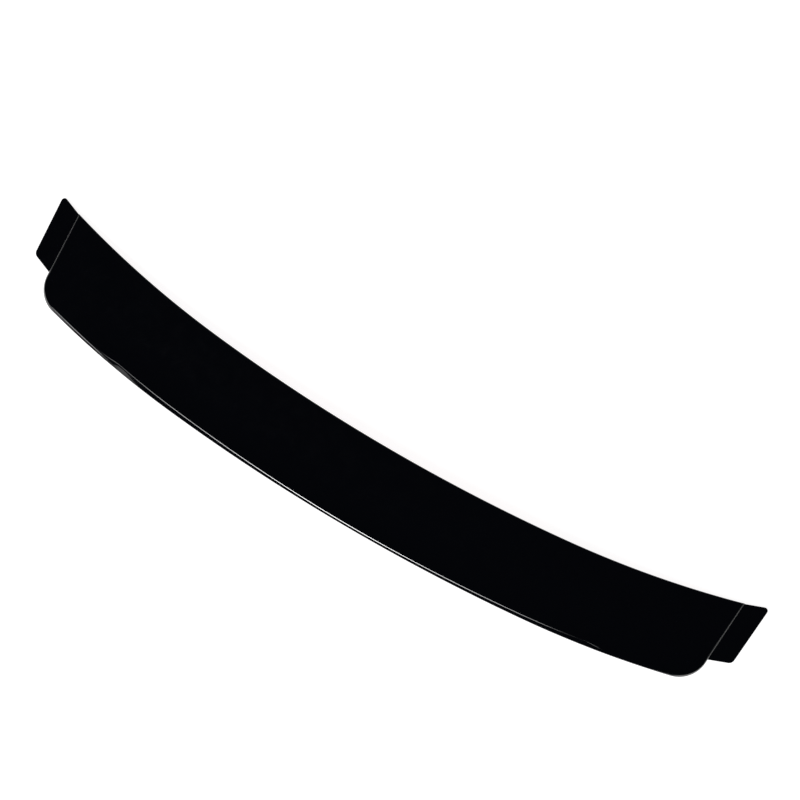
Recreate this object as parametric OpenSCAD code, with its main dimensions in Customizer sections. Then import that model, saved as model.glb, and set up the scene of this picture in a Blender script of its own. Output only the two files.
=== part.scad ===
// Stick-on lip spoiler: one moulding that follows a crowned body panel, with its foam tape and liners.
// Millimetres. X runs along the span, +Y toward the leading edge and +Z up.

/* [Plan of the blade] */
// Half length of the blade along its leading edge, to the end line
blade_half = 555.5; // [500:0.5:620]
// Depth of the blade from leading to trailing edge at mid span
chord_mid = 125.7; // [110:0.1:160]
// Depth of the blade at its ends
chord_end = 133.8; // [115:0.1:165]
// Plan radius of the leading edge over the middle
bow_mid_r = 2750; // [2200:10:6000]
// Plan radius of the leading edge toward the ends
bow_end_r = 1560; // [1200:10:3000]
// Distance from mid span where the end radius takes over
bow_turn = 293; // [180:1:400]
// Radius of the trailing corners in plan
corner_r = 45; // [30:1:52]
// Inward lean of the end lines, in degrees
end_lean = 3.9; // [0:0.1:6]

/* [Section of the blade] */
// Thickness of the moulded skin
skin = 3; // [2.5:0.1:4]
// Radius of the body panel's crown, which the blade follows
crown_r = 4100; // [3000:10:12000]
// Depth of the flat front part that is stuck down
bond_depth = 72; // [60:1:80]
// Rise of the blade at the trailing edge at mid span
kick = 6; // [0:0.5:12]
// Depth of the leading rim at mid span
lead_rim = 3.8; // [3.4:0.1:4.2]
// Depth of the rim at the front of each end line
end_rim = 5.6; // [5.4:0.1:6]
// Depth of the trailing rim
trail_rim = 10; // [9:0.5:14]
// Fall of the narrow land between the ridge and the trailing edge, in degrees
land_fall = 38; // [30:1:40]
// Width of the land at mid span
land_mid = 1.5; // [1:0.1:3]
// Width of the land where it is widest
land_wide = 5.1; // [3:0.1:5.5]
// Width of the land at the rounded corners
land_end = 2.2; // [1:0.1:3]
// Distance from mid span where the land is widest
land_far = 385; // [300:5:400]
// Radius of the ridge between the top face and the land
ridge_r = 6; // [4:0.1:7]
// Radius of the outermost edge all round
edge_r = 1.8; // [1:0.1:2.2]
// Thickness of the rim's wall
rim_wall = 2.6; // [2.2:0.1:3]

/* [End tabs] */
// Width of each tab from the end line to its tip, along the front edge
tab_w = 36; // [26:1:45]
// Length of the tab's outer edge before its corners are rounded
tab_len = 96; // [75:1:100]
// Thickness of the tab
tab_t = 2.5; // [2:0.1:2.6]
// Step down from the blade's top to the tab's top
tab_step = 2.6; // [2.2:0.1:3]
// Distance of the tab's front edge behind the blade's front corner, which leaves a small notch
tab_set = 0.8; // [0.5:0.1:3]
// Forward turn of the tab's front edge from the blade's, in degrees
tab_kink = 4.5; // [0:0.5:8]
// Inward lean of the tab's outer edge, in degrees
tab_lean = 5.1; // [0:0.1:8]
// Radius of the tab's front corner
tab_front_r = 5; // [2:0.5:8]
// Radius of the tab's rear corner
tab_rear_r = 9.5; // [4:0.5:14]
// Radius of the tab's top edge
tab_edge_r = 0.8; // [0.4:0.1:1.2]

/* [Tape] */
// Width of the long foam strips
tape_w = 12; // [8:1:16]
// Thickness of the foam
tape_t = 1.1; // [0.8:0.1:1.2]
// Thickness of the release liner
liner_t = 0.2; // [0.1:0.05:0.3]
// Distance from the leading edge to the front strip
front_tape_set = 6; // [4.5:0.5:10]
// Distance from the leading edge to the rear strip
rear_tape_set = 56; // [30:1:60]
// Half length of the long strips
tape_half = 532; // [300:1:540]
// Inset of the pads from the tab's edges
pad_inset = 5; // [3:0.5:8]

/* [Fineness] */
// Columns across each half of the blade, up to the rounded corner
span_cols = 20; // [12:1:26]
// Columns round each trailing corner
corner_cols = 7; // [5:1:10]
// Rows from the leading to the trailing edge
chord_rows = 12; // [8:1:14]

/* [Hidden] */
top_h = tape_t + liner_t + skin;
lean_rate = tan(end_lean) / blade_half;
tab_slope = asin(blade_half / crown_r);
cols = 2 * (span_cols + corner_cols) + 1;
last_col = cols - 1;
black = [0.02, 0.02, 0.025];
foam_grey = [0.16, 0.16, 0.17];
liner_red = [0.78, 0.08, 0.07];

// Rise of a compound arc above its lowest point, at distance d from it
function arc_rise(d, r1, r2, turn) =
    let(
        a = asin(turn / r1),
        c_across = turn - r2 * sin(a),
        c_up = r1 - r1 * cos(a) + r2 * cos(a)
    )
    d <= turn
        ? r1 - sqrt(r1 * r1 - d * d)
        : c_up - sqrt(r2 * r2 - pow(d - c_across, 2));

// Smooth step from 0 at a to 1 at b
function ease(a, b, v) = let(t = min(1, max(0, (v - a) / (b - a)))) t * t * (3 - 2 * t);
function mix(a, b, t) = a + (b - a) * t;
function unit(v) = v / norm(v);
function left_of(v) = [-v.y, v.x];

// Plan of the blade: leading edge, trailing edge and the line at each end
function lead_y(x) = arc_rise(abs(x), bow_mid_r, bow_end_r, bow_turn);
function chord(x) = mix(chord_mid, chord_end, pow(x / blade_half, 2));
function lead_pt(x) = [x, lead_y(x)];
function trail_pt(x) = [x * (1 - lean_rate * chord(x)), lead_y(x) - chord(x)];
end_dir = [-sin(end_lean), -cos(end_lean)];
end_in = [-cos(end_lean), sin(end_lean)];

// The trailing corner's centre is one corner radius inside both the trailing edge and the end line
function corner_at(x) = trail_pt(x) + corner_r * left_of(unit(trail_pt(x + 1) - trail_pt(x - 1)));
function corner_gap(x) = (corner_at(x) - lead_pt(blade_half)) * end_in - corner_r;
function corner_x(lo, hi, n) =
    let(mid = (lo + hi) / 2)
    n == 0 ? mid : corner_gap(mid) > 0 ? corner_x(mid, hi, n - 1) : corner_x(lo, mid, n - 1);
fillet_x = corner_x(blade_half - 3 * corner_r, blade_half, 30);
fillet_c = corner_at(fillet_x);
fillet_dir = trail_pt(fillet_x) - fillet_c;
fillet_start = atan2(fillet_dir.y, fillet_dir.x);
fillet_turn = atan2(-end_in.y, -end_in.x) - fillet_start;
fillet_foot = fillet_c - corner_r * end_in;
end_len = norm(fillet_foot - lead_pt(blade_half));

// Leading and trailing points of column j, counted from the left end; the last column stands off for the rim
last_gap = 7;
function side(j) = j < last_col / 2 ? -1 : 1;
function from_mid(j) = abs(j - last_col / 2);
function in_corner(j) = max(0, from_mid(j) - span_cols) / corner_cols;
function lead_x(j) =
    let(k = from_mid(j) - span_cols)
    k <= 0 ? fillet_x * from_mid(j) / span_cols
    : k == corner_cols ? blade_half
    : mix(fillet_x, blade_half - last_gap, k / (corner_cols - 1));
function fillet_pt(t) =
    let(a = fillet_start + fillet_turn * t)
    fillet_c + corner_r * [cos(a), sin(a)];
function flip(p, s) = [p.x * s, p.y];
function col_lead(j) = flip(lead_pt(lead_x(j)), side(j));
function col_trail(j) =
    flip(in_corner(j) > 0 ? fillet_pt(in_corner(j)) : trail_pt(lead_x(j)), side(j));
function end_pt(m, s) = flip(lead_pt(blade_half) + end_dir * end_len * m / chord_rows, s);

// The outline runs along the leading edge, down the right end, back along the trailing edge and up the left
outline = concat(
    [for (j = [0 : last_col]) col_lead(j)],
    [for (m = [1 : chord_rows - 1]) end_pt(m, 1)],
    [for (j = [last_col : -1 : 0]) col_trail(j)],
    [for (m = [chord_rows - 1 : -1 : 1]) end_pt(m, -1)]
);
count = len(outline);
trail_first = cols + chord_rows - 1;
left_first = trail_first + cols;

// How far each outline point belongs to the trailing rim: 0 leading, 1 trailing
end_share = 0.1;
function end_rear(m) = end_share * ease(0, chord_rows, m);
function col_rear(j) = in_corner(j) > 0 ? mix(1, end_share, ease(0, 1, in_corner(j))) : 1;
rear = concat(
    [for (j = [0 : last_col]) 0],
    [for (m = [1 : chord_rows - 1]) end_rear(m)],
    [for (j = [last_col : -1 : 0]) col_rear(j)],
    [for (m = [chord_rows - 1 : -1 : 1]) end_rear(m)]
);

// Vector that carries an outline point outward by one, square to both neighbours
function mitre(pts, i) =
    let(
        n = len(pts),
        a = left_of(unit(pts[i] - pts[(i + n - 1) % n])),
        b = left_of(unit(pts[(i + 1) % n] - pts[i]))
    )
    (a + b) / (1 + a * b);
outward = [for (i = [0 : count - 1]) mitre(outline, i)];

// Height of the blade's top face above the panel's highest point
function crown_z(x) = sqrt(crown_r * crown_r - x * x) - crown_r;
function kick_z(x, v) =
    kick * (1 - ease(0.55 * blade_half, 0.96 * blade_half, abs(x)))
        * pow(max(0, v - bond_depth) / (chord_mid - bond_depth), 2);
function top_z(p) = crown_z(p.x) + top_h + kick_z(p.x, lead_y(p.x) - p.y);

// Section of the rim: points as distance in from the outline and height below the top face
function rim_depth(i) =
    mix(mix(lead_rim, end_rim, pow(abs(outline[i].x) / blade_half, 4)), trail_rim, rear[i]);
edge_land = 0.4;
edge_fall = 45;
land_tuck = 30;
function land_at(x) =
    mix(
        mix(land_mid, land_wide, pow(min(1, x / land_far), 1.5)),
        land_end,
        ease(land_far, land_far + land_tuck, x)
    );
function land(i) = mix(edge_land, land_at(abs(outline[i].x)), rear[i]);
function fall(i) = mix(edge_fall, land_fall, rear[i]);
function rim_r(i) = mix(edge_r, ridge_r, rear[i]);
function land_drop(i) = rim_r(i) * (1 - cos(fall(i))) + land(i) * tan(fall(i));
ridge_steps = 3;
edge_steps = 3;
outer_rings = ridge_steps + edge_steps + 2;
function rim_outer(i) =
    let(ridge_in = edge_r * (1 - sin(fall(i))) + land(i))
    [
        for (k = [0 : ridge_steps])
            let(a = fall(i) * k / ridge_steps)
            [ridge_in + rim_r(i) * (sin(fall(i)) - sin(a)), rim_r(i) * (cos(a) - 1)],
        for (k = [0 : edge_steps])
            let(a = mix(fall(i), 90, k / edge_steps))
            [edge_r * (1 - sin(a)), edge_r * (cos(a) - cos(fall(i))) - land_drop(i)]
    ];
foot_r = 0.6;
wall_in = 0.6;
skin_in = 1.6;
function rim_inner(i) =
    let(drop = rear[i] * min(land_drop(i), rim_depth(i) - skin - 1))
    [
        [0, foot_r - rim_depth(i)],
        [foot_r, -rim_depth(i)],
        [rim_wall - foot_r / 2, -rim_depth(i)],
        [rim_wall, foot_r / 2 - rim_depth(i)],
        [rim_wall + wall_in, -skin - drop],
        [rim_wall + skin_in + rear[i] * land(i), -skin]
    ];
rim = [for (i = [0 : count - 1]) concat(rim_outer(i), rim_inner(i))];
rings = len(rim[0]);
function rim_plan(i, k) = outline[i] - outward[i] * rim[i][k][0];
function rim_pt(i, k) = let(p = rim_plan(i, k)) [p.x, p.y, top_z(p) + rim[i][k][1]];

// Top and underside grids hang between the leading and trailing points of each column
function trail_index(j) = trail_first + last_col - j;
function grid_plan(j, m, k) = mix(rim_plan(j, k), rim_plan(trail_index(j), k), m / chord_rows);
function grid_pt(j, m, k) = let(p = grid_plan(j, m, k)) [p.x, p.y, top_z(p) + (k == 0 ? 0 : -skin)];
inner_count = (cols - 2) * (chord_rows - 1);
function inner_index(j, m) = (j - 1) * (chord_rows - 1) + m - 1;
function loop_index(j, m) =
    m == 0 ? j
    : m == chord_rows ? trail_index(j)
    : j == 0 ? left_first + chord_rows - 1 - m
    : cols + m - 1;
function on_loop(j, m) = m == 0 || m == chord_rows || j == 0 || j == last_col;
function grid_index(j, m, k) =
    on_loop(j, m)
        ? k * count + loop_index(j, m)
        : rings * count + (k == 0 ? 0 : inner_count) + inner_index(j, m);

blade_points = concat(
    [for (k = [0 : rings - 1]) for (i = [0 : count - 1]) rim_pt(i, k)],
    [for (j = [1 : last_col - 1]) for (m = [1 : chord_rows - 1]) grid_pt(j, m, 0)],
    [for (j = [1 : last_col - 1]) for (m = [1 : chord_rows - 1]) grid_pt(j, m, rings - 1)]
);

// Two triangles for a quadrilateral given clockwise as seen from outside
function halves(q) = [[q[0], q[1], q[2]], [q[0], q[2], q[3]]];
function quad(j, m, k) = [
    grid_index(j, m, k), grid_index(j + 1, m, k), grid_index(j + 1, m + 1, k), grid_index(j, m + 1, k)
];
function turned(q) = [q[3], q[2], q[1], q[0]];
function band(i, k, n) = [k * n + (i + 1) % n, k * n + i, (k + 1) * n + i, (k + 1) * n + (i + 1) % n];

blade_faces = concat(
    [for (j = [0 : last_col - 1]) for (m = [0 : chord_rows - 1]) each halves(quad(j, m, 0))],
    [for (j = [0 : last_col - 1]) for (m = [0 : chord_rows - 1]) each halves(turned(quad(j, m, rings - 1)))],
    [for (k = [0 : rings - 2]) for (i = [0 : count - 1]) each halves(band(i, k, count))]
);

// Plan of the right tab in its own plane, from the blade's front corner
function heading(a) = [cos(a), sin(a)];
lead_slope = atan2(lead_y(blade_half) - lead_y(blade_half - 4), 4);
tab_front = heading(lead_slope + tab_kink);
tab_side = heading(-90 - tab_lean);
tab_start = tab_set * end_dir;
tab_tip = tab_start + tab_w / tab_front.x * tab_front;
tab_back = tab_tip + tab_len * tab_side;
tab_lap = 1.6;

// Point of the line through p along d that lies the lap inside the end line
function root_of(p, d) = p + d * ((tab_lap - p * end_in) / (d * end_in));

// Points round a corner at p between directions a and b, with radius r, in n steps
function round_corner(p, a, b, r, n) =
    let(
        turn = acos(a * b),
        s = a.x * b.y - a.y * b.x < 0 ? -1 : 1,
        start = p - a * r * tan(turn / 2),
        c = start + s * r * left_of(a),
        first = atan2(start.y - c.y, start.x - c.x)
    )
    [for (k = [0 : n]) c + r * heading(first + s * turn * k / n)];

// Outline of a tab's plan, clockwise, moved in by inset; s is 1 on the right and -1 on the left
function tab_plan(inset, s = 1) =
    let(
        sharp = [root_of(tab_start, tab_front), tab_tip, tab_back, root_of(tab_back, tab_front)],
        p = [for (i = [0 : 3]) sharp[i] - mitre(sharp, i) * inset],
        front_r = max(1, tab_front_r - inset),
        rear_r = max(1, tab_rear_r - inset),
        pts = [
            p[0],
            each round_corner(p[1], tab_front, tab_side, front_r, 5),
            each round_corner(p[2], tab_side, -tab_front, rear_r, 7),
            p[3]
        ]
    )
    s > 0 ? pts : [for (i = [len(pts) - 1 : -1 : 0]) flip(pts[i], -1)];

tab_corner_z = top_z(lead_pt(blade_half));
module at_tab(s) {
    translate([s * blade_half, lead_y(blade_half), tab_corner_z - tab_step])
        rotate([0, s * tab_slope, 0])
            children();
}

// The whole part tips until the tabs' pads and the trailing corners touch the same level
function at_tab_pt(p, z) = [
    blade_half + p.x * cos(tab_slope) + z * sin(tab_slope),
    lead_y(blade_half) + p.y,
    tab_corner_z - tab_step - p.x * sin(tab_slope) + z * cos(tab_slope)
];
pad_z = -tab_t - tape_t - liner_t;
pad_points = [for (p = tab_plan(pad_inset)) at_tab_pt(p, pad_z)];
foot_points = [for (i = [trail_first : trail_first + cols - 1]) rim_pt(i, outer_rings + 1)];
function tip_angle(a, b) = atan((b.z - a.z) / (a.y - b.y));
pitch = max([for (a = pad_points) min([for (b = foot_points) a.y - b.y > 5 ? tip_angle(a, b) : 45])]);
function tipped(p) = [p.x, p.y * cos(pitch) - p.z * sin(pitch), p.y * sin(pitch) + p.z * cos(pitch)];
floor_z = min([for (p = concat(pad_points, foot_points)) tipped(p).z]);
front_y = max([for (p = tab_plan(0)) tipped(at_tab_pt(p, -tab_t)).y]);
rear_y = min([for (i = [trail_first : trail_first + cols - 1]) tipped(rim_pt(i, outer_rings - 1)).y]);

module placed() {
    translate([0, -(front_y + rear_y) / 2, -floor_z])
        rotate([pitch, 0, 0])
            children();
}

// Plate with a rounded top edge over a plan outline given clockwise
module eased_plate(pts, t, r) {
    n = len(pts);
    steps = 3;
    levels = concat(
        [for (k = [0 : steps]) let(a = 90 * k / steps) [r * (1 - sin(a)), r * (cos(a) - 1)]],
        [[0, -t]]
    );
    points = [
        for (v = levels)
            for (i = [0 : n - 1])
                let(p = pts[i] - mitre(pts, i) * v[0])
                [p.x, p.y, v[1]]
    ];
    faces = concat(
        [[for (i = [0 : n - 1]) i]],
        [for (k = [0 : len(levels) - 2]) for (i = [0 : n - 1]) each halves(band(i, k, n))],
        [[for (i = [n - 1 : -1 : 0]) (len(levels) - 1) * n + i]]
    );
    polyhedron(points, faces);
}

module tab(s) {
    at_tab(s)
        eased_plate(tab_plan(0, s), tab_t, tab_edge_r);
}

// Long strip under the skin, between two depths below it, that follows the leading edge
strip_cols = 36;
module strip(set, top, bottom) {
    xs = [for (i = [0 : strip_cols]) mix(-tape_half, tape_half, i / strip_cols)];
    points = [
        for (x = xs)
            for (c = [[0, top], [0, bottom], [1, bottom], [1, top]])
                [x, lead_y(x) - set - tape_w * c[0], crown_z(x) + top_h - skin - c[1]]
    ];
    last = 4 * strip_cols;
    faces = concat(
        [[0, 1, 2], [0, 2, 3]],
        [for (i = [0 : strip_cols - 1]) for (k = [0 : 3])
            each halves([4 * i + k, 4 * i + 4 + k, 4 * i + 4 + (k + 1) % 4, 4 * i + (k + 1) % 4])],
        [[last + 2, last + 1, last], [last + 3, last + 2, last]]
    );
    polyhedron(points, faces);
}

// Pad under a tab, between two depths below it
module pad(s, top, bottom) {
    at_tab(s)
        translate([0, 0, -tab_t - bottom])
            linear_extrude(bottom - top)
                polygon(tab_plan(pad_inset, s));
}

module spoiler_shell() {
    color(black)
        placed() {
            polyhedron(blade_points, blade_faces);
            tab(-1);
            tab(1);
        }
}

module front_tape() {
    color(foam_grey)
        placed()
            strip(front_tape_set, 0, tape_t);
}

module rear_tape() {
    color(foam_grey)
        placed()
            strip(rear_tape_set, 0, tape_t);
}

module left_tab_tape() {
    color(foam_grey)
        placed()
            pad(-1, 0, tape_t);
}

module right_tab_tape() {
    color(foam_grey)
        placed()
            pad(1, 0, tape_t);
}

module front_liner() {
    color(liner_red)
        placed()
            strip(front_tape_set, tape_t, tape_t + liner_t);
}

module rear_liner() {
    color(liner_red)
        placed()
            strip(rear_tape_set, tape_t, tape_t + liner_t);
}

module left_tab_liner() {
    color(liner_red)
        placed()
            pad(-1, tape_t, tape_t + liner_t);
}

module right_tab_liner() {
    color(liner_red)
        placed()
            pad(1, tape_t, tape_t + liner_t);
}

spoiler_shell();
front_tape();
rear_tape();
left_tab_tape();
right_tab_tape();
front_liner();
rear_liner();
left_tab_liner();
right_tab_liner();
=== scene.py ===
import math

import bmesh
import bpy
from mathutils import Matrix, Quaternion, Vector, noise


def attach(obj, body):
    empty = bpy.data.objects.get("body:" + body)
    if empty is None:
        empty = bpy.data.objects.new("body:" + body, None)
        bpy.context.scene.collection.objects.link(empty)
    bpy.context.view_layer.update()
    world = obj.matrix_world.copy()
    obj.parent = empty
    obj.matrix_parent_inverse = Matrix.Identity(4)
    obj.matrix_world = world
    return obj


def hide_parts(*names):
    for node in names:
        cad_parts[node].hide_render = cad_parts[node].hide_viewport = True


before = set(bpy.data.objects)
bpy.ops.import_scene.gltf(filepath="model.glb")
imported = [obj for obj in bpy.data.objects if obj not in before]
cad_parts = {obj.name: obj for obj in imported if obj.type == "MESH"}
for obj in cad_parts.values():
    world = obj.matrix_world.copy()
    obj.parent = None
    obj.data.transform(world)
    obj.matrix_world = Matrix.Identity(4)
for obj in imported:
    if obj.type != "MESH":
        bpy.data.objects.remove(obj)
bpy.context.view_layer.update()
scene = bpy.context.scene
scene.view_settings.view_transform = 'Standard'
mm = 0.001


def sine(deg):
    return math.sin(math.radians(deg))


def cosine(deg):
    return math.cos(math.radians(deg))


def tangent(deg):
    return math.tan(math.radians(deg))


def mix(a, b, t):
    return a + (b - a) * t


def ease(a, b, v):
    t = min(1, max(0, (v - a) / (b - a)))
    return t * t * (3 - 2 * t)


def leftOf(v):
    return Vector((-v.y, v.x))


# Plan of the blade, millimetres, the same curves as in the CAD source
blade = {
    "half": 555.5,        # along the leading edge to the end line
    "chordMid": 125.7,
    "chordEnd": 133.8,
    "bowMid": 2750.0,     # plan radii of the leading edge
    "bowEnd": 1560.0,
    "bowTurn": 293.0,
    "cornerR": 45.0,
    "endLean": 3.9,       # degrees
    "crownR": 4100.0,     # crown of the panel that it follows
    "bondDepth": 72.0,
    "kick": 6.0,
    "kickFade": (0.55, 0.96),   # shares of the half span over which the rise dies out
    "skin": 3.0,
    "leadRim": 3.8,
    "endRim": 5.6,
    "trailRim": 10.0,
    "rimGrow": 4,         # power with which the front rim deepens towards the ends
    "endShare": 0.1,      # share of the trailing rim that the ends keep
    "landFall": 38.0,     # degrees, at the back
    "leadFall": 45.0,     # degrees, in front
    "landLead": 0.4,      # width in front; the next three are at the back
    "landMid": 1.5,
    "landWide": 5.1,
    "landEnd": 2.2,
    "landFar": 385.0,
    "landGrow": 1.5,      # power with which the land widens
    "landTuck": 30.0,
    "ridgeR": 6.0,
    "edgeR": 1.8,
    "rimWall": 2.6,
    "leastWall": 1.0,     # height that the wall keeps below its inner corner
    "elbowIn": 0.6,       # inner corner of the rim, inside the wall
    "rootIn": 1.6,        # where the wall has run out into the skin
    "rootStart": 0.4,     # share of the way to the inner corner where its curve starts
    "faceLap": 0.5,       # flat start of each face beside its curves
    "footR": 0.6,
    "spanCols": 64,       # columns across each half, up to the corner
    "cornerCols": 22,
    "endGap": 7.0,        # from the last column but one to the end line
    "chordRows": 26,
    "ridgeSteps": 9,
    "edgeSteps": 7,
    "footSteps": 4,
    "sharpFrom": 38,      # degrees between faces from which an edge stays sharp
}

# Tape strips and pads, millimetres
tape = {
    "width": 12.0,
    "thick": 1.1,
    "liner": 0.2,
    "half": 532.0,
    "frontSet": 6.0,      # behind the leading edge
    "rearSet": 56.0,
    "inset": 5.0,         # of a pad inside its tab
    "columns": 340,
    "edgeIn": 0.02,       # first place across the faces, as a share of the width
    "padStep": 3,         # between points along a pad's cuts
    "padLap": 0.5,
    "wanderPace": 0.11,   # waves of the cut edges per millimetre
    "wanderApart": 7.3,
    "sharpFrom": 40,
}
topH = tape["thick"] + tape["liner"] + blade["skin"]
leanRate = tangent(blade["endLean"]) / blade["half"]


def leadY(x):
    d, r1, r2, turn = abs(x), blade["bowMid"], blade["bowEnd"], blade["bowTurn"]
    if d <= turn:
        return r1 - math.sqrt(r1 * r1 - d * d)
    a = math.asin(turn / r1)
    across = turn - r2 * math.sin(a)
    up = r1 - (r1 - r2) * math.cos(a)
    return up - math.sqrt(r2 * r2 - (d - across) ** 2)


def chordAt(x):
    return mix(blade["chordMid"], blade["chordEnd"], (x / blade["half"]) ** 2)


def leadPt(x):
    return Vector((x, leadY(x)))


def trailPt(x):
    return Vector((x * (1 - leanRate * chordAt(x)), leadY(x) - chordAt(x)))


endDir = Vector((-sine(blade["endLean"]), -cosine(blade["endLean"])))
endIn = Vector((-cosine(blade["endLean"]), sine(blade["endLean"])))


# the corner's centre is one radius inside both the trailing edge and the end line
def cornerCentre(x):
    return trailPt(x) + blade["cornerR"] * leftOf((trailPt(x + 1) - trailPt(x - 1)).normalized())


def findCornerX():
    low, high = blade["half"] - 3 * blade["cornerR"], blade["half"]
    for _ in range(40):         # halvings, far more than the plan needs
        mid = (low + high) / 2
        if (cornerCentre(mid) - leadPt(blade["half"])).dot(endIn) - blade["cornerR"] > 0:
            low = mid
        else:
            high = mid
    return (low + high) / 2


cornerX = findCornerX()
cornerMid = cornerCentre(cornerX)
cornerFirst = trailPt(cornerX) - cornerMid
cornerStart = math.atan2(cornerFirst.y, cornerFirst.x)
cornerTurn = math.atan2(-endIn.y, -endIn.x) - cornerStart
endLength = (cornerMid - blade["cornerR"] * endIn - leadPt(blade["half"])).length


def crownZ(x):
    return math.sqrt(blade["crownR"] ** 2 - x * x) - blade["crownR"]


def topZ(p):
    depth = leadY(p.x) - p.y
    fadeFrom, fadeTo = blade["kickFade"]
    share = 1 - ease(fadeFrom * blade["half"], fadeTo * blade["half"], abs(p.x))
    lift = max(0, depth - blade["bondDepth"]) / (blade["chordMid"] - blade["bondDepth"])
    return crownZ(p.x) + topH + blade["kick"] * share * lift ** 2


# End tabs, in a plane that carries on the crown's slope
tabs = {
    "width": 36.0,
    "length": 96.0,
    "thick": 2.5,
    "step": 2.6,
    "set": 0.8,
    "kink": 4.5,          # degrees
    "lean": 5.1,
    "frontR": 5.0,
    "rearR": 9.5,
    "leastR": 1,          # of a corner of an inset plan
    "frontSteps": 10,
    "rearSteps": 14,
    "edgeR": 0.8,
    "underR": 0.25,
    "flatIn": 0.4,        # flat start inside the rounded edges
    "lap": 1.6,
    "slopeOver": 4,       # length over which the leading edge's slope is taken
    "matt": 80,           # degrees: a face within this of straight down is unpainted
}
tabSlope = math.degrees(math.asin(blade["half"] / blade["crownR"]))
tabZ = topZ(leadPt(blade["half"])) - tabs["step"]


def heading(deg):
    return Vector((cosine(deg), sine(deg)))


def mitre(points, i):
    a = leftOf((points[i] - points[i - 1]).normalized())
    b = leftOf((points[(i + 1) % len(points)] - points[i]).normalized())
    return (a + b) / (1 + a.dot(b))


def roundCorner(p, a, b, r, n):
    turn = math.acos(a.dot(b))
    s = -1 if a.x * b.y - a.y * b.x < 0 else 1
    start = p - a * r * math.tan(turn / 2)
    centre = start + s * r * leftOf(a)
    first = math.atan2(start.y - centre.y, start.x - centre.x)
    return [centre + r * heading(math.degrees(first + s * turn * k / n)) for k in range(n + 1)]


# outline of the right tab, clockwise, moved in by inset
def tabPlan(inset):
    over = tabs["slopeOver"]
    rise = math.degrees(math.atan2(leadY(blade["half"]) - leadY(blade["half"] - over), over))
    front, side = heading(rise + tabs["kink"]), heading(-90 - tabs["lean"])
    start = tabs["set"] * endDir
    tip = start + tabs["width"] / front.x * front
    back = tip + tabs["length"] * side

    def rootOf(p):
        return p + front * ((tabs["lap"] - p.dot(endIn)) / front.dot(endIn))

    sharp = [rootOf(start), tip, back, rootOf(back)]
    p = [sharp[i] - mitre(sharp, i) * inset for i in range(4)]
    return [
        p[0],
        *roundCorner(p[1], front, side, max(tabs["leastR"], tabs["frontR"] - inset), tabs["frontSteps"]),
        *roundCorner(p[2], side, -front, max(tabs["leastR"], tabs["rearR"] - inset), tabs["rearSteps"]),
        p[3],
    ]


def onTab(p, z, s):
    x = blade["half"] + p.x * cosine(tabSlope) + z * sine(tabSlope)
    return Vector((s * x, leadY(blade["half"]) + p.y, tabZ - p.x * sine(tabSlope) + z * cosine(tabSlope)))


# The part lies tipped, on its pads and trailing corners; values from the CAD source
lie = {"pitch": 3.88545, "y": 23.0851, "z": 43.5936}


def placed(p):
    c, s = cosine(lie["pitch"]), sine(lie["pitch"])
    return Vector((p.x, p.y * c - p.z * s + lie["y"], p.y * s + p.z * c + lie["z"])) * mm


def newObject(name, points, faces, materials):
    mesh = bpy.data.meshes.new(name)
    mesh.from_pydata([placed(p) for p in points], [], faces)
    for material in materials:
        mesh.materials.append(material)
    piece = bpy.data.objects.new(name, mesh)
    scene.collection.objects.link(piece)
    return piece


def faceOutward(piece):
    work = bmesh.new()
    work.from_mesh(piece.data)
    bmesh.ops.recalc_face_normals(work, faces=work.faces)
    work.to_mesh(piece.data)
    work.free()


def shadeSmooth(piece, angle):
    piece.data.shade_smooth()
    piece.data.set_sharp_from_angle(angle=math.radians(angle))


# Node helpers
def newMaterial(name):
    material = bpy.data.materials.new(name)
    material.use_nodes = True
    tree = material.node_tree
    tree.nodes.clear()
    out = tree.nodes.new("ShaderNodeOutputMaterial")
    shader = tree.nodes.new("ShaderNodeBsdfPrincipled")
    tree.links.new(shader.outputs[0], out.inputs[0])
    return material, tree, shader


def addNode(tree, kind, sockets=None, **settings):
    node = tree.nodes.new("ShaderNode" + kind)
    for key, value in settings.items():
        setattr(node, key, value)
    for key, value in (sockets or {}).items():
        if isinstance(value, bpy.types.NodeSocket):
            tree.links.new(value, node.inputs[key])
        else:
            node.inputs[key].default_value = value
    return node


def calc(tree, operation, *values):
    return addNode(tree, "Math", dict(enumerate(values)), operation=operation).outputs[0]


def noiseAt(tree, place, size, detail, distortion=0):
    sockets = {"Vector": place, "Scale": size, "Detail": detail, "Distortion": distortion}
    return addNode(tree, "TexNoise", sockets).outputs[0]


def bumpFrom(tree, height, strength, depth):
    return addNode(tree, "Bump", {"Strength": strength, "Distance": depth, "Height": height}).outputs[0]


# a noise texture keeps mostly between 0.35 and 0.65
def spread(tree, value, low, high, fromLow=0.35, fromHigh=0.65):
    node = addNode(tree, "MapRange", {0: value, 1: fromLow, 2: fromHigh, 3: low, 4: high})
    return node.outputs[0]


def blendColours(tree, factor, a, b):
    node = addNode(tree, "Mix", {0: factor, 6: (*a, 1), 7: (*b, 1)}, data_type='RGBA')
    return node.outputs[2]


# Gloss black paint of the visible side
gloss = {
    "colour": (0.0011, 0.0014, 0.0025),
    "paler": (0.0014, 0.0018, 0.0031),
    "roughness": (0.06, 0.10),
    "coatRoughness": 0.03,
    "ior": 1.6,
    "cloudSize": 9,         # paler clouds, per metre
    "wipeSize": 55,         # changes of gloss
    "peelSize": 240,        # orange peel
    "peelDepth": 0.000006,  # metres
    "peelBump": 0.5,
}


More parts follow.
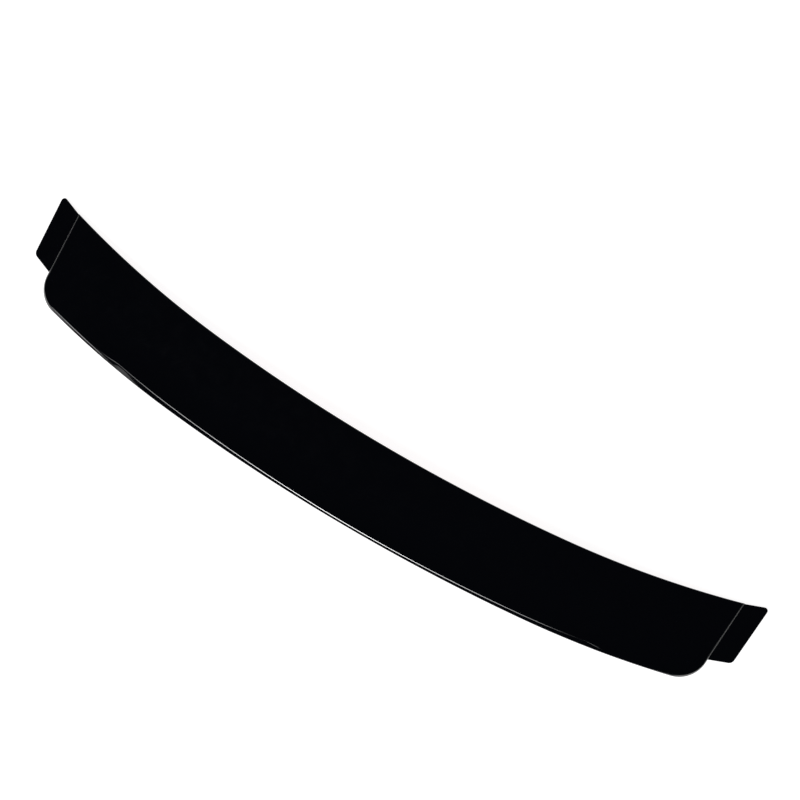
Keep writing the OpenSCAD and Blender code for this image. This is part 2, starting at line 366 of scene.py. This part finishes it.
def glossBlack():
    material, tree, shader = newMaterial("glossBlack")
    place = addNode(tree, "TexCoord").outputs["Object"]
    cloud = noiseAt(tree, place, gloss["cloudSize"], 3)
    wipe = noiseAt(tree, place, gloss["wipeSize"], 5, 0.6)
    peel = noiseAt(tree, place, gloss["peelSize"], 1.5)
    bump = bumpFrom(tree, peel, gloss["peelBump"], gloss["peelDepth"])
    colour = blendColours(tree, cloud, gloss["colour"], gloss["paler"])
    tree.links.new(colour, shader.inputs["Base Color"])
    tree.links.new(spread(tree, wipe, *gloss["roughness"]), shader.inputs["Roughness"])
    tree.links.new(bump, shader.inputs["Normal"])
    tree.links.new(bump, shader.inputs["Coat Normal"])
    shader.inputs["Coat Weight"].default_value = 1
    shader.inputs["Coat Roughness"].default_value = gloss["coatRoughness"]
    shader.inputs["Coat IOR"].default_value = gloss["ior"]
    shader.inputs["IOR"].default_value = gloss["ior"]
    return material


# Unpainted moulded underside
moulded = {
    "colour": (0.010, 0.0105, 0.012),
    "paler": (0.019, 0.0195, 0.021),
    "roughness": (0.36, 0.52),
    "specular": 0.3,
    "streakSize": (7, 26, 26),      # flow streaks, drawn out along the span
    "grain": 1900,          # cells per metre
    "grainDepth": 0.00007,  # metres
    "grainBump": 0.55,
    "pinEvery": 0.118,      # ejector marks along the span
    "pinRadius": 0.0042,
    "pinEdge": 0.94,        # share of the radius where a mark's edge starts
    "pinRows": (-0.012, -0.066),
    "pinHeight": -0.9,      # against the grain's
    "pinRoughness": -0.16,
    "bow": 0.217,           # sweep of the leading edge, so that the rows follow it
}


def mouldedBlack():
    material, tree, shader = newMaterial("mouldedBlack")
    place = addNode(tree, "TexCoord").outputs["Object"]
    split = addNode(tree, "SeparateXYZ", {0: place})
    x, y = split.outputs[0], split.outputs[1]
    flow = addNode(tree, "Mapping", {"Vector": place, "Scale": moulded["streakSize"]}).outputs[0]
    streak = noiseAt(tree, flow, 1, 5, 0.8)
    grain = addNode(tree, "TexVoronoi", {"Vector": place, "Scale": moulded["grain"]}).outputs[0]
    squared = calc(tree, 'MULTIPLY', x, x)
    straight = calc(tree, 'MULTIPLY_ADD', squared, -moulded["bow"], y)
    along = calc(tree, 'PINGPONG', x, moulded["pinEvery"] / 2)
    marks = None
    for row in moulded["pinRows"]:
        across = calc(tree, 'SUBTRACT', straight, row)
        both = addNode(tree, "CombineXYZ", {0: along, 1: across}).outputs[0]
        reach = addNode(tree, "VectorMath", {0: both}, operation='LENGTH').outputs["Value"]
        disc = spread(tree, reach, 1, 0, moulded["pinRadius"] * moulded["pinEdge"], moulded["pinRadius"])
        marks = disc if marks is None else calc(tree, 'MAXIMUM', marks, disc)
    height = calc(tree, 'MULTIPLY_ADD', marks, moulded["pinHeight"], grain)
    bump = bumpFrom(tree, height, moulded["grainBump"], moulded["grainDepth"])
    rough = spread(tree, streak, *moulded["roughness"])
    smoother = calc(tree, 'MULTIPLY_ADD', marks, moulded["pinRoughness"], rough)
    colour = blendColours(tree, streak, moulded["colour"], moulded["paler"])
    tree.links.new(colour, shader.inputs["Base Color"])
    tree.links.new(smoother, shader.inputs["Roughness"])
    tree.links.new(bump, shader.inputs["Normal"])
    shader.inputs["Specular IOR Level"].default_value = moulded["specular"]
    return material


paint = glossBlack()
underside = mouldedBlack()
print("paint and moulded underside ready")


# The blade: rings of points round the outline, with a grid of rows above and below
def lastCol():
    return 2 * (blade["spanCols"] + blade["cornerCols"])


def fromMid(j):
    return abs(j - lastCol() / 2)


def inCorner(j):
    return max(0, fromMid(j) - blade["spanCols"]) / blade["cornerCols"]


def mirrored(p, j):
    return Vector((-p.x, p.y)) if j < lastCol() / 2 else p


def colLead(j):
    k = fromMid(j) - blade["spanCols"]
    if k <= 0:
        x = cornerX * fromMid(j) / blade["spanCols"]
    elif k == blade["cornerCols"]:
        x = blade["half"]
    else:
        x = mix(cornerX, blade["half"] - blade["endGap"], k / (blade["cornerCols"] - 1))
    return mirrored(leadPt(x), j), x


def colTrail(j):
    t = inCorner(j)
    if t > 0:
        p = cornerMid + blade["cornerR"] * heading(math.degrees(cornerStart + cornerTurn * t))
    else:
        p = trailPt(colLead(j)[1])
    return mirrored(p, j)


# each outline point with its share of the trailing rim, 0 at the front and 1 at the back
def bladeOutline():
    last, rows, share = lastCol(), blade["chordRows"], blade["endShare"]
    corner = leadPt(blade["half"])
    ends = [(corner + endDir * endLength * m / rows, share * ease(0, rows, m)) for m in range(1, rows)]
    points = [(colLead(j)[0], 0) for j in range(last + 1)]
    points += ends
    for j in range(last, -1, -1):
        points.append((colTrail(j), mix(1, share, ease(0, 1, inCorner(j)))))
    points += [(Vector((-p.x, p.y)), rear) for p, rear in reversed(ends)]
    return points


def landAt(x):
    wide = mix(blade["landMid"], blade["landWide"], min(1, x / blade["landFar"]) ** blade["landGrow"])
    return mix(wide, blade["landEnd"], ease(blade["landFar"], blade["landFar"] + blade["landTuck"], x))


# section of the rim: distance in from the outline and height below the top face
def rimSection(x, rear):
    land = mix(blade["landLead"], landAt(abs(x)), rear)
    fall = mix(blade["leadFall"], blade["landFall"], rear)
    ridgeR, edgeR = mix(blade["edgeR"], blade["ridgeR"], rear), blade["edgeR"]
    sideRim = mix(blade["leadRim"], blade["endRim"], (abs(x) / blade["half"]) ** blade["rimGrow"])
    depth = mix(sideRim, blade["trailRim"], rear)
    ridgeIn = edgeR * (1 - sine(fall)) + land
    landDrop = ridgeR * (1 - cosine(fall)) + land * tangent(fall)
    section = [(ridgeIn + ridgeR * sine(fall) + blade["faceLap"], 0)]
    for k in range(blade["ridgeSteps"] + 1):
        a = fall * k / blade["ridgeSteps"]
        section.append((ridgeIn + ridgeR * (sine(fall) - sine(a)), ridgeR * (cosine(a) - 1)))
    for k in range(blade["edgeSteps"] + 1):
        a = mix(fall, 90, k / blade["edgeSteps"])
        section.append((edgeR * (1 - sine(a)), edgeR * (cosine(a) - cosine(fall)) - landDrop))
    foot, wall = blade["footR"], blade["rimWall"]
    for k in range(blade["footSteps"] + 1):
        a = 90 * k / blade["footSteps"]
        section.append((foot * (1 - cosine(a)), foot * (1 - sine(a)) - depth))
    outer = len(section)
    for k in range(blade["footSteps"] + 1):
        a = 90 * k / blade["footSteps"]
        section.append((wall - foot / 2 * (1 - sine(a)), foot / 2 * (1 - cosine(a)) - depth))
    drop = rear * min(landDrop, depth - blade["skin"] - blade["leastWall"])
    elbow = (wall + blade["elbowIn"], -blade["skin"] - drop)
    inner = (wall + blade["rootIn"] + rear * land, -blade["skin"])
    start = [mix(a, b, blade["rootStart"]) for a, b in zip((wall, section[-1][1]), elbow)]
    for t in (0, 0.25, 0.5, 0.75):          # soft inner root
        q = [mix(mix(start[n], elbow[n], t), mix(elbow[n], inner[n], t), t) for n in (0, 1)]
        section.append(tuple(q))
    section += [inner, (inner[0] + blade["faceLap"], inner[1])]
    return section, outer


def buildBlade():
    outline = bladeOutline()
    plan = [p for p, _ in outline]
    count, last, rows = len(outline), lastCol(), blade["chordRows"]
    sections = [rimSection(p.x, rear) for p, rear in outline]
    outer, rings = sections[0][1], len(sections[0][0])
    away = [mitre(plan, i) for i in range(count)]

    def ringPlan(i, k):
        return plan[i] - away[i] * sections[i][0][k][0]

    def lifted(p, drop):
        return Vector((p.x, p.y, topZ(p) + drop))

    points = [lifted(ringPlan(i, k), sections[i][0][k][1]) for k in range(rings) for i in range(count)]
    trailFirst = last + rows
    grid = {}
    for level, k, drop in ((0, 0, 0), (1, rings - 1, -blade["skin"])):
        for j in range(last + 1):
            for m in range(rows + 1):
                if m == 0:
                    grid[level, j, m] = k * count + j
                elif m == rows:
                    grid[level, j, m] = k * count + trailFirst + last - j
                elif j == last:
                    grid[level, j, m] = k * count + last + m
                elif j == 0:
                    grid[level, j, m] = k * count + trailFirst + last + rows - m
                else:
                    p = mix(ringPlan(j, k), ringPlan(trailFirst + last - j, k), m / rows)
                    grid[level, j, m] = len(points)
                    points.append(lifted(p, drop))
    faces, satin = [], []
    for level in (0, 1):
        for j in range(last):
            for m in range(rows):
                q = [grid[level, j + a, m + b] for a, b in ((0, 0), (0, 1), (1, 1), (1, 0))]
                faces.append(q if level == 0 else q[::-1])
                satin.append(level)
    for k in range(rings - 1):
        for i in range(count):
            n = (i + 1) % count
            faces.append([k * count + i, k * count + n, (k + 1) * count + n, (k + 1) * count + i])
            satin.append(1 if k >= outer else 0)
    piece = newObject("shellLook", points, faces, [paint, underside])
    piece.data.polygons.foreach_set("material_index", satin)
    return piece


# faces of a closed pile of rings with n points each
def pileFaces(rings, n):
    faces = [list(range(n)), [(rings - 1) * n + i for i in range(n - 1, -1, -1)]]
    for k in range(rings - 1):
        for i in range(n):
            j = (i + 1) % n
            faces.append([k * n + i, (k + 1) * n + i, (k + 1) * n + j, k * n + j])
    return faces


# flat plate with rounded edges over a plan, as rings from the top face to the underside
def buildTab(s):
    r, thick, under = tabs["edgeR"], tabs["thick"], tabs["underR"]
    levels = [(r + tabs["flatIn"], 0)]
    levels += [(r * (1 - sine(a)), r * (cosine(a) - 1)) for a in (0, 15, 30, 45, 60, 75, 90)]
    levels += [(under * (1 - cosine(a)), under * (1 - sine(a)) - thick) for a in (0, 30, 60, 90)]
    levels += [(under + tabs["flatIn"], -thick)]
    plans = [tabPlan(inset) for inset, _ in levels]
    points = [onTab(p, z, s) for plan, (_, z) in zip(plans, levels) for p in plan]
    piece = newObject("tab", points, pileFaces(len(levels), len(plans[0])), [paint, underside])
    faceOutward(piece)
    low = cosine(tabs["matt"])
    for polygon in piece.data.polygons:
        polygon.material_index = 1 if polygon.normal.z < -low else 0
    return piece


def joinTabs(shell, parts):
    for part in parts:
        join = shell.modifiers.new("join", 'BOOLEAN')
        join.operation = 'UNION'
        join.solver = 'MANIFOLD'
        join.object = part
    view = bpy.context.evaluated_depsgraph_get()
    whole = bpy.data.meshes.new_from_object(shell.evaluated_get(view))
    shell.modifiers.clear()
    shell.data = whole
    for part in parts:
        bpy.data.objects.remove(part)


shell = buildBlade()
faceOutward(shell)
joinTabs(shell, [buildTab(-1), buildTab(1)])
shadeSmooth(shell, blade["sharpFrom"])
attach(shell, "root")
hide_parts("spoiler_shell")
print("shell", len(shell.data.vertices), "points")


# Foam tape and its release liner
foam = {
    "colour": (0.115, 0.116, 0.125),
    "paler": (0.165, 0.166, 0.175),
    "roughness": (0.82, 0.96),
    "cell": 2600,           # pores per metre
    "patchSize": 160,
    "poreDepth": 0.00012,   # metres
    "poreBump": 0.8,
    "bulge": 0.16,          # mm at mid height of the cut sides
    "ragged": 0.07,
    "sink": 0.03,           # into the skin, so that no gap shows
}
liner = {
    "colour": (0.60, 0.028, 0.022),
    "paler": (0.70, 0.045, 0.036),
    "roughness": (0.27, 0.42),
    "specular": 0.25,
    "streakSize": (9, 260, 260),    # drawn out along the span
    "wrinkleSize": 70,
    "wrinkleDepth": 0.0004,         # metres
    "wrinkleBump": 0.5,
    "ripple": 0.10,         # mm of wander in the slit edges
}


def foamGrey():
    material, tree, shader = newMaterial("foamGrey")
    place = addNode(tree, "TexCoord").outputs["Object"]
    cells = addNode(tree, "TexVoronoi", {"Vector": place, "Scale": foam["cell"]}).outputs[0]
    patch = noiseAt(tree, place, foam["patchSize"], 4)
    both = calc(tree, 'MULTIPLY', cells, patch)
    bump = bumpFrom(tree, both, foam["poreBump"], foam["poreDepth"])
    # colour follows the same value as the bump: darker in the pits and lower patches, painted shade in
    # the pores
    colour = blendColours(tree, spread(tree, both, 0, 1, 0.1, 0.5), foam["colour"], foam["paler"])
    tree.links.new(colour, shader.inputs["Base Color"])
    tree.links.new(spread(tree, patch, *foam["roughness"]), shader.inputs["Roughness"])
    tree.links.new(bump, shader.inputs["Normal"])
    return material


def linerRed():
    material, tree, shader = newMaterial("linerRed")
    place = addNode(tree, "TexCoord").outputs["Object"]
    along = addNode(tree, "Mapping", {"Vector": place, "Scale": liner["streakSize"]}).outputs[0]
    streak = noiseAt(tree, along, 1, 4)
    wrinkle = noiseAt(tree, place, liner["wrinkleSize"], 2, 1.2)
    bump = bumpFrom(tree, wrinkle, liner["wrinkleBump"], liner["wrinkleDepth"])
    colour = blendColours(tree, streak, liner["colour"], liner["paler"])
    tree.links.new(colour, shader.inputs["Base Color"])
    tree.links.new(spread(tree, streak, *liner["roughness"]), shader.inputs["Roughness"])
    tree.links.new(bump, shader.inputs["Normal"])
    shader.inputs["Specular IOR Level"].default_value = liner["specular"]
    return material


foamLook, linerLook = foamGrey(), linerRed()


# section of a strip: places across, 0 to 1, and down, 0 to 1, with how far the edge is free to bulge
def stripSection(corner):
    sides = [(0, 0.0), (0, 0.08), (0, 0.3), (0, 0.5), (0, 0.7), (0, 0.92), (0, 1.0)]
    under = [(u, 1.0) for u in (corner, 0.12, 0.35, 0.65, 0.88, 1 - corner)]
    far = [(1, v) for _, v in reversed(sides)]
    over = [(u, 0.0) for u in (1 - corner, 0.65, 0.35, corner)]
    return sides + under + far + over


def wander(x, seed, size):
    return noise.noise(Vector((x * tape["wanderPace"], seed * tape["wanderApart"], 0.5))) * size


def longStrip(name, setBack, top, bottom, bulge, ripple, seed, material):
    section = stripSection(tape["edgeIn"])
    columns = tape["columns"]
    points = []
    for i in range(columns + 1):
        x = mix(-tape["half"], tape["half"], i / columns)
        for u, v in section:
            edge = 0
            if u in (0, 1):
                out = bulge * 4 * v * (1 - v) + wander(x, seed + u * 3, ripple)
                edge = out if u == 0 else -out
            down = mix(top, bottom, v)
            y = leadY(x) - setBack - tape["width"] * u + edge
            points.append(Vector((x, y, crownZ(x) + topH - blade["skin"] - down)))
    n = len(section)
    faces = [list(range(n)), [columns * n + k for k in range(n - 1, -1, -1)]]
    for i in range(columns):
        for k in range(n):
            j = (k + 1) % n
            faces.append([i * n + k, i * n + j, (i + 1) * n + j, (i + 1) * n + k])
    piece = newObject(name, points, faces, [material])
    faceOutward(piece)
    shadeSmooth(piece, tape["sharpFrom"])
    return piece


# pad under a tab, cut to the tab's plan
def tabPad(name, s, top, bottom, bulge, ripple, seed, material):
    def smoothed(plan):         # extra points along the straight cuts
        out = []
        for i, p in enumerate(plan):
            q = plan[(i + 1) % len(plan)]
            parts = max(1, round((q - p).length / tape["padStep"]))
            out += [mix(p, q, t / parts) for t in range(parts)]
        return out

    plan = smoothed(tabPlan(tape["inset"]))
    n = len(plan)
    away = [mitre(plan, i) for i in range(n)]
    wobble = [wander(i * tape["padStep"], seed, ripple) for i in range(n)]
    sides = [(-bulge * 4 * v * (1 - v), v) for v in (0, 0.1, 0.3, 0.5, 0.7, 0.9, 1)]
    levels = [(tape["padLap"], 0), *sides, (tape["padLap"], 1)]
    points = []
    for inset, v in levels:
        for i in range(n):
            p = plan[i] - away[i] * (inset + wobble[i])
            points.append(onTab(p, -tabs["thick"] - mix(top, bottom, v), s))
    piece = newObject(name, points, pileFaces(len(levels), n), [material])
    faceOutward(piece)
    shadeSmooth(piece, tape["sharpFrom"])
    return piece


def layTape():
    thick, film = tape["thick"], tape["thick"] + tape["liner"]
    body = (-foam["sink"], thick, foam["bulge"], foam["ragged"])
    skin = (thick, film, 0, liner["ripple"])
    foams, films = [], []
    for seed, (side, setBack) in enumerate((("front", tape["frontSet"]), ("rear", tape["rearSet"]))):
        strip = longStrip(side + "TapeLook", setBack, *body, seed, foamLook)
        cover = longStrip(side + "LinerLook", setBack, *skin, seed + 9, linerLook)
        foams.append((strip, side + "_tape"))
        films.append((cover, side + "_liner"))
    for seed, (side, s) in enumerate((("left", -1), ("right", 1))):
        pad = tabPad(side + "PadLook", s, *body, seed + 20, foamLook)
        cover = tabPad(side + "PadLinerLook", s, *skin, seed + 30, linerLook)
        foams.append((pad, side + "_tab_tape"))
        films.append((cover, side + "_tab_liner"))
    for piece, node in foams + films:
        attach(piece, "root")
        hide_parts(node)


layTape()
print("foam tape and liners laid")


# White floor, seen white by the camera and by reflections; a lit diffuse share keeps the shadow
studio = {
    "floorSize": 14.0,
    "floorDrop": 0.0003,
    "floorGlow": (0.9, 1.0),        # near the object, and far off
    "glowReach": (0.9, 2.6),        # metres from the middle over which it rises
    "floorColour": 0.45,
    "skyLow": 0.0,          # degrees: white up to here in reflections
    "skyHigh": 3.0,         # dark from here on
    "skyDark": 0.003,
    "fill": 0.16,           # even light on the object
}


def layFloor():
    half = studio["floorSize"] / 2
    mesh = bpy.data.meshes.new("floor")
    signs = ((-1, -1), (1, -1), (1, 1), (-1, 1))
    corners = [(half * a, half * b, -studio["floorDrop"]) for a, b in signs]
    mesh.from_pydata(corners, [], [(0, 1, 2, 3)])
    floor = bpy.data.objects.new("floor", mesh)
    scene.collection.objects.link(floor)
    material = bpy.data.materials.new("paleFloor")
    material.use_nodes = True
    tree = material.node_tree
    tree.nodes.clear()
    white = (1, 1, 1, 1)
    path = addNode(tree, "LightPath")
    seen = calc(tree, 'MAXIMUM', path.outputs["Is Camera Ray"], path.outputs["Is Glossy Ray"])
    seen = calc(tree, 'MAXIMUM', seen, path.outputs["Is Transmission Ray"])
    place = addNode(tree, "TexCoord").outputs["Object"]
    reach = addNode(tree, "VectorMath", {0: place}, operation='LENGTH').outputs["Value"]
    level = spread(tree, reach, *studio["floorGlow"], *studio["glowReach"])
    glow = calc(tree, 'MULTIPLY', seen, level)
    emission = addNode(tree, "Emission", {0: white, 1: glow})
    grey = studio["floorColour"]
    matt = addNode(tree, "BsdfDiffuse", {0: (grey, grey, grey, 1)})
    both = addNode(tree, "AddShader", {0: emission.outputs[0], 1: matt.outputs[0]})
    clear = addNode(tree, "BsdfTransparent")
    back = addNode(tree, "NewGeometry").outputs["Backfacing"]
    pick = addNode(tree, "MixShader", {0: back, 1: both.outputs[0], 2: clear.outputs[0]})
    out = addNode(tree, "OutputMaterial")
    tree.links.new(pick.outputs[0], out.inputs[0])
    mesh.materials.append(material)
    floor.visible_shadow = False


def lightSky():
    world = bpy.data.worlds.new("studioAir")
    scene.world = world
    world.use_nodes = True
    tree = world.node_tree
    tree.nodes.clear()
    place = addNode(tree, "TexCoord").outputs["Generated"]
    up = addNode(tree, "SeparateXYZ", {0: place}).outputs[2]
    low, high = sine(studio["skyLow"]), sine(studio["skyHigh"])
    sky = {0: up, 1: low, 2: high, 3: 1, 4: studio["skyDark"]}
    fade = addNode(tree, "MapRange", sky, interpolation_type='SMOOTHSTEP').outputs[0]
    path = addNode(tree, "LightPath")
    camera = path.outputs["Is Camera Ray"]
    mirror = calc(tree, 'MAXIMUM', path.outputs["Is Glossy Ray"], path.outputs["Is Transmission Ray"])
    level = addNode(tree, "Mix", {0: mirror, 2: studio["fill"], 3: fade}, data_type='FLOAT')
    level = addNode(tree, "Mix", {0: camera, 2: level.outputs[0], 3: 1.0}, data_type='FLOAT')
    background = addNode(tree, "Background", {0: (1, 1, 1, 1), 1: level.outputs[0]})
    out = addNode(tree, "OutputWorld")
    tree.links.new(background.outputs[0], out.inputs[0])


# Softboxes: bearing from behind the part, height and roll in degrees; away and size in metres.
# A stop is a place across the box, 0 to 1 from its left, and the share of its radiance there.
keyBox = {
    "bearing": -13.3,
    "height": 60.3,
    "roll": -15.6,
    "away": 3.2,
    "size": (5.0, 0.76),
    "radiance": 22,
    "stops": [(0.1, 0.0), (0.35, 0.27), (0.5, 0.68), (0.6, 0.68), (0.72, 0.34), (1.0, 0.0)],
}
leftBox = {
    "bearing": -40,
    "height": 14.8,
    "roll": -35,
    "away": 3.3,
    "size": (1.32, 0.48),
    "radiance": 4.2,
    "stops": [(0.0, 1.0), (0.4, 0.9), (0.55, 0.15), (1.0, 0.03)],
}
farLeftBox = {"bearing": -95, "height": 30, "away": 3.0, "size": (0.8, 1.4), "radiance": 0.4}
rightBox = {"bearing": 96, "height": 32, "away": 3.0, "size": (0.8, 1.4), "radiance": 0.55}
underBox = {"bearing": 0, "height": -80, "away": 2.4, "size": (4.5, 3.5), "radiance": 1.7}


def hangSoftbox(name, box):
    width, height = box["size"]
    lamp = bpy.data.lights.new(name, 'AREA')
    lamp.shape = 'RECTANGLE'
    lamp.size, lamp.size_y = width, height
    lamp.energy = box["radiance"] * math.pi * width * height
    holder = bpy.data.objects.new(name, lamp)
    back = Vector((
        sine(box["bearing"]) * cosine(box["height"]),
        -cosine(box["bearing"]) * cosine(box["height"]),
        sine(box["height"]),
    ))
    holder.location = back * box["away"]
    holder.rotation_mode = 'QUATERNION'
    roll = Quaternion((0, 0, 1), math.radians(box.get("roll", 0)))
    holder.rotation_quaternion = back.to_track_quat('Z', 'Y') @ roll
    holder.visible_camera = False
    scene.collection.objects.link(holder)
    if "stops" in box:
        lamp.use_nodes = True
        tree = lamp.node_tree
        tree.nodes.clear()
        across = addNode(tree, "NewGeometry").outputs["Parametric"]
        ramp = addNode(tree, "ValToRGB", {0: addNode(tree, "SeparateXYZ", {0: across}).outputs[0]})
        marks = ramp.color_ramp.elements
        while len(marks) < len(box["stops"]):
            marks.new(0.5)
        for mark, (place, level) in zip(marks, box["stops"]):
            mark.position = place
            mark.color = (level, level, level, 1)
        glow = addNode(tree, "Emission", {0: ramp.outputs[0], 1: 1.0})
        out = addNode(tree, "OutputLight")
        tree.links.new(glow.outputs[0], out.inputs[0])


layFloor()
lightSky()
hangSoftbox("keyBox", keyBox)
hangSoftbox("leftBox", leftBox)
hangSoftbox("farLeftBox", farLeftBox)
hangSoftbox("rightBox", rightBox)
hangSoftbox("underBox", underBox)
print("floor, sky and softboxes ready")


# Camera, fitted to the photograph's outline
eye = {
    "lens": 70,             # millimetres
    "sensor": 36,
    "elevation": 83,        # degrees
    "tilt": 3.103,
    "roll": 30.332,
    "distance": 2.231667,   # metres
    "aim": (-0.013535, 0.093292, 0.020),
}


def placeCamera():
    back = Vector((tangent(eye["tilt"]), -tangent(90 - eye["elevation"]), 1)).normalized()
    right = (Vector((1, 0, 0)) - back * back.x).normalized()
    up = back.cross(right)
    c, s = cosine(eye["roll"]), sine(eye["roll"])
    side, top = right * c + up * s, up * c - right * s
    camera = bpy.data.objects.new("camera", bpy.data.cameras.new("camera"))
    camera.data.lens = eye["lens"]
    camera.data.sensor_width = eye["sensor"]
    camera.data.dof.use_dof = False
    camera.location = Vector(eye["aim"]) + back * eye["distance"]
    camera.rotation_mode = 'QUATERNION'
    camera.rotation_quaternion = Matrix([(side[n], top[n], back[n]) for n in range(3)]).to_quaternion()
    scene.collection.objects.link(camera)
    scene.camera = camera


placeCamera()
print("camera placed")
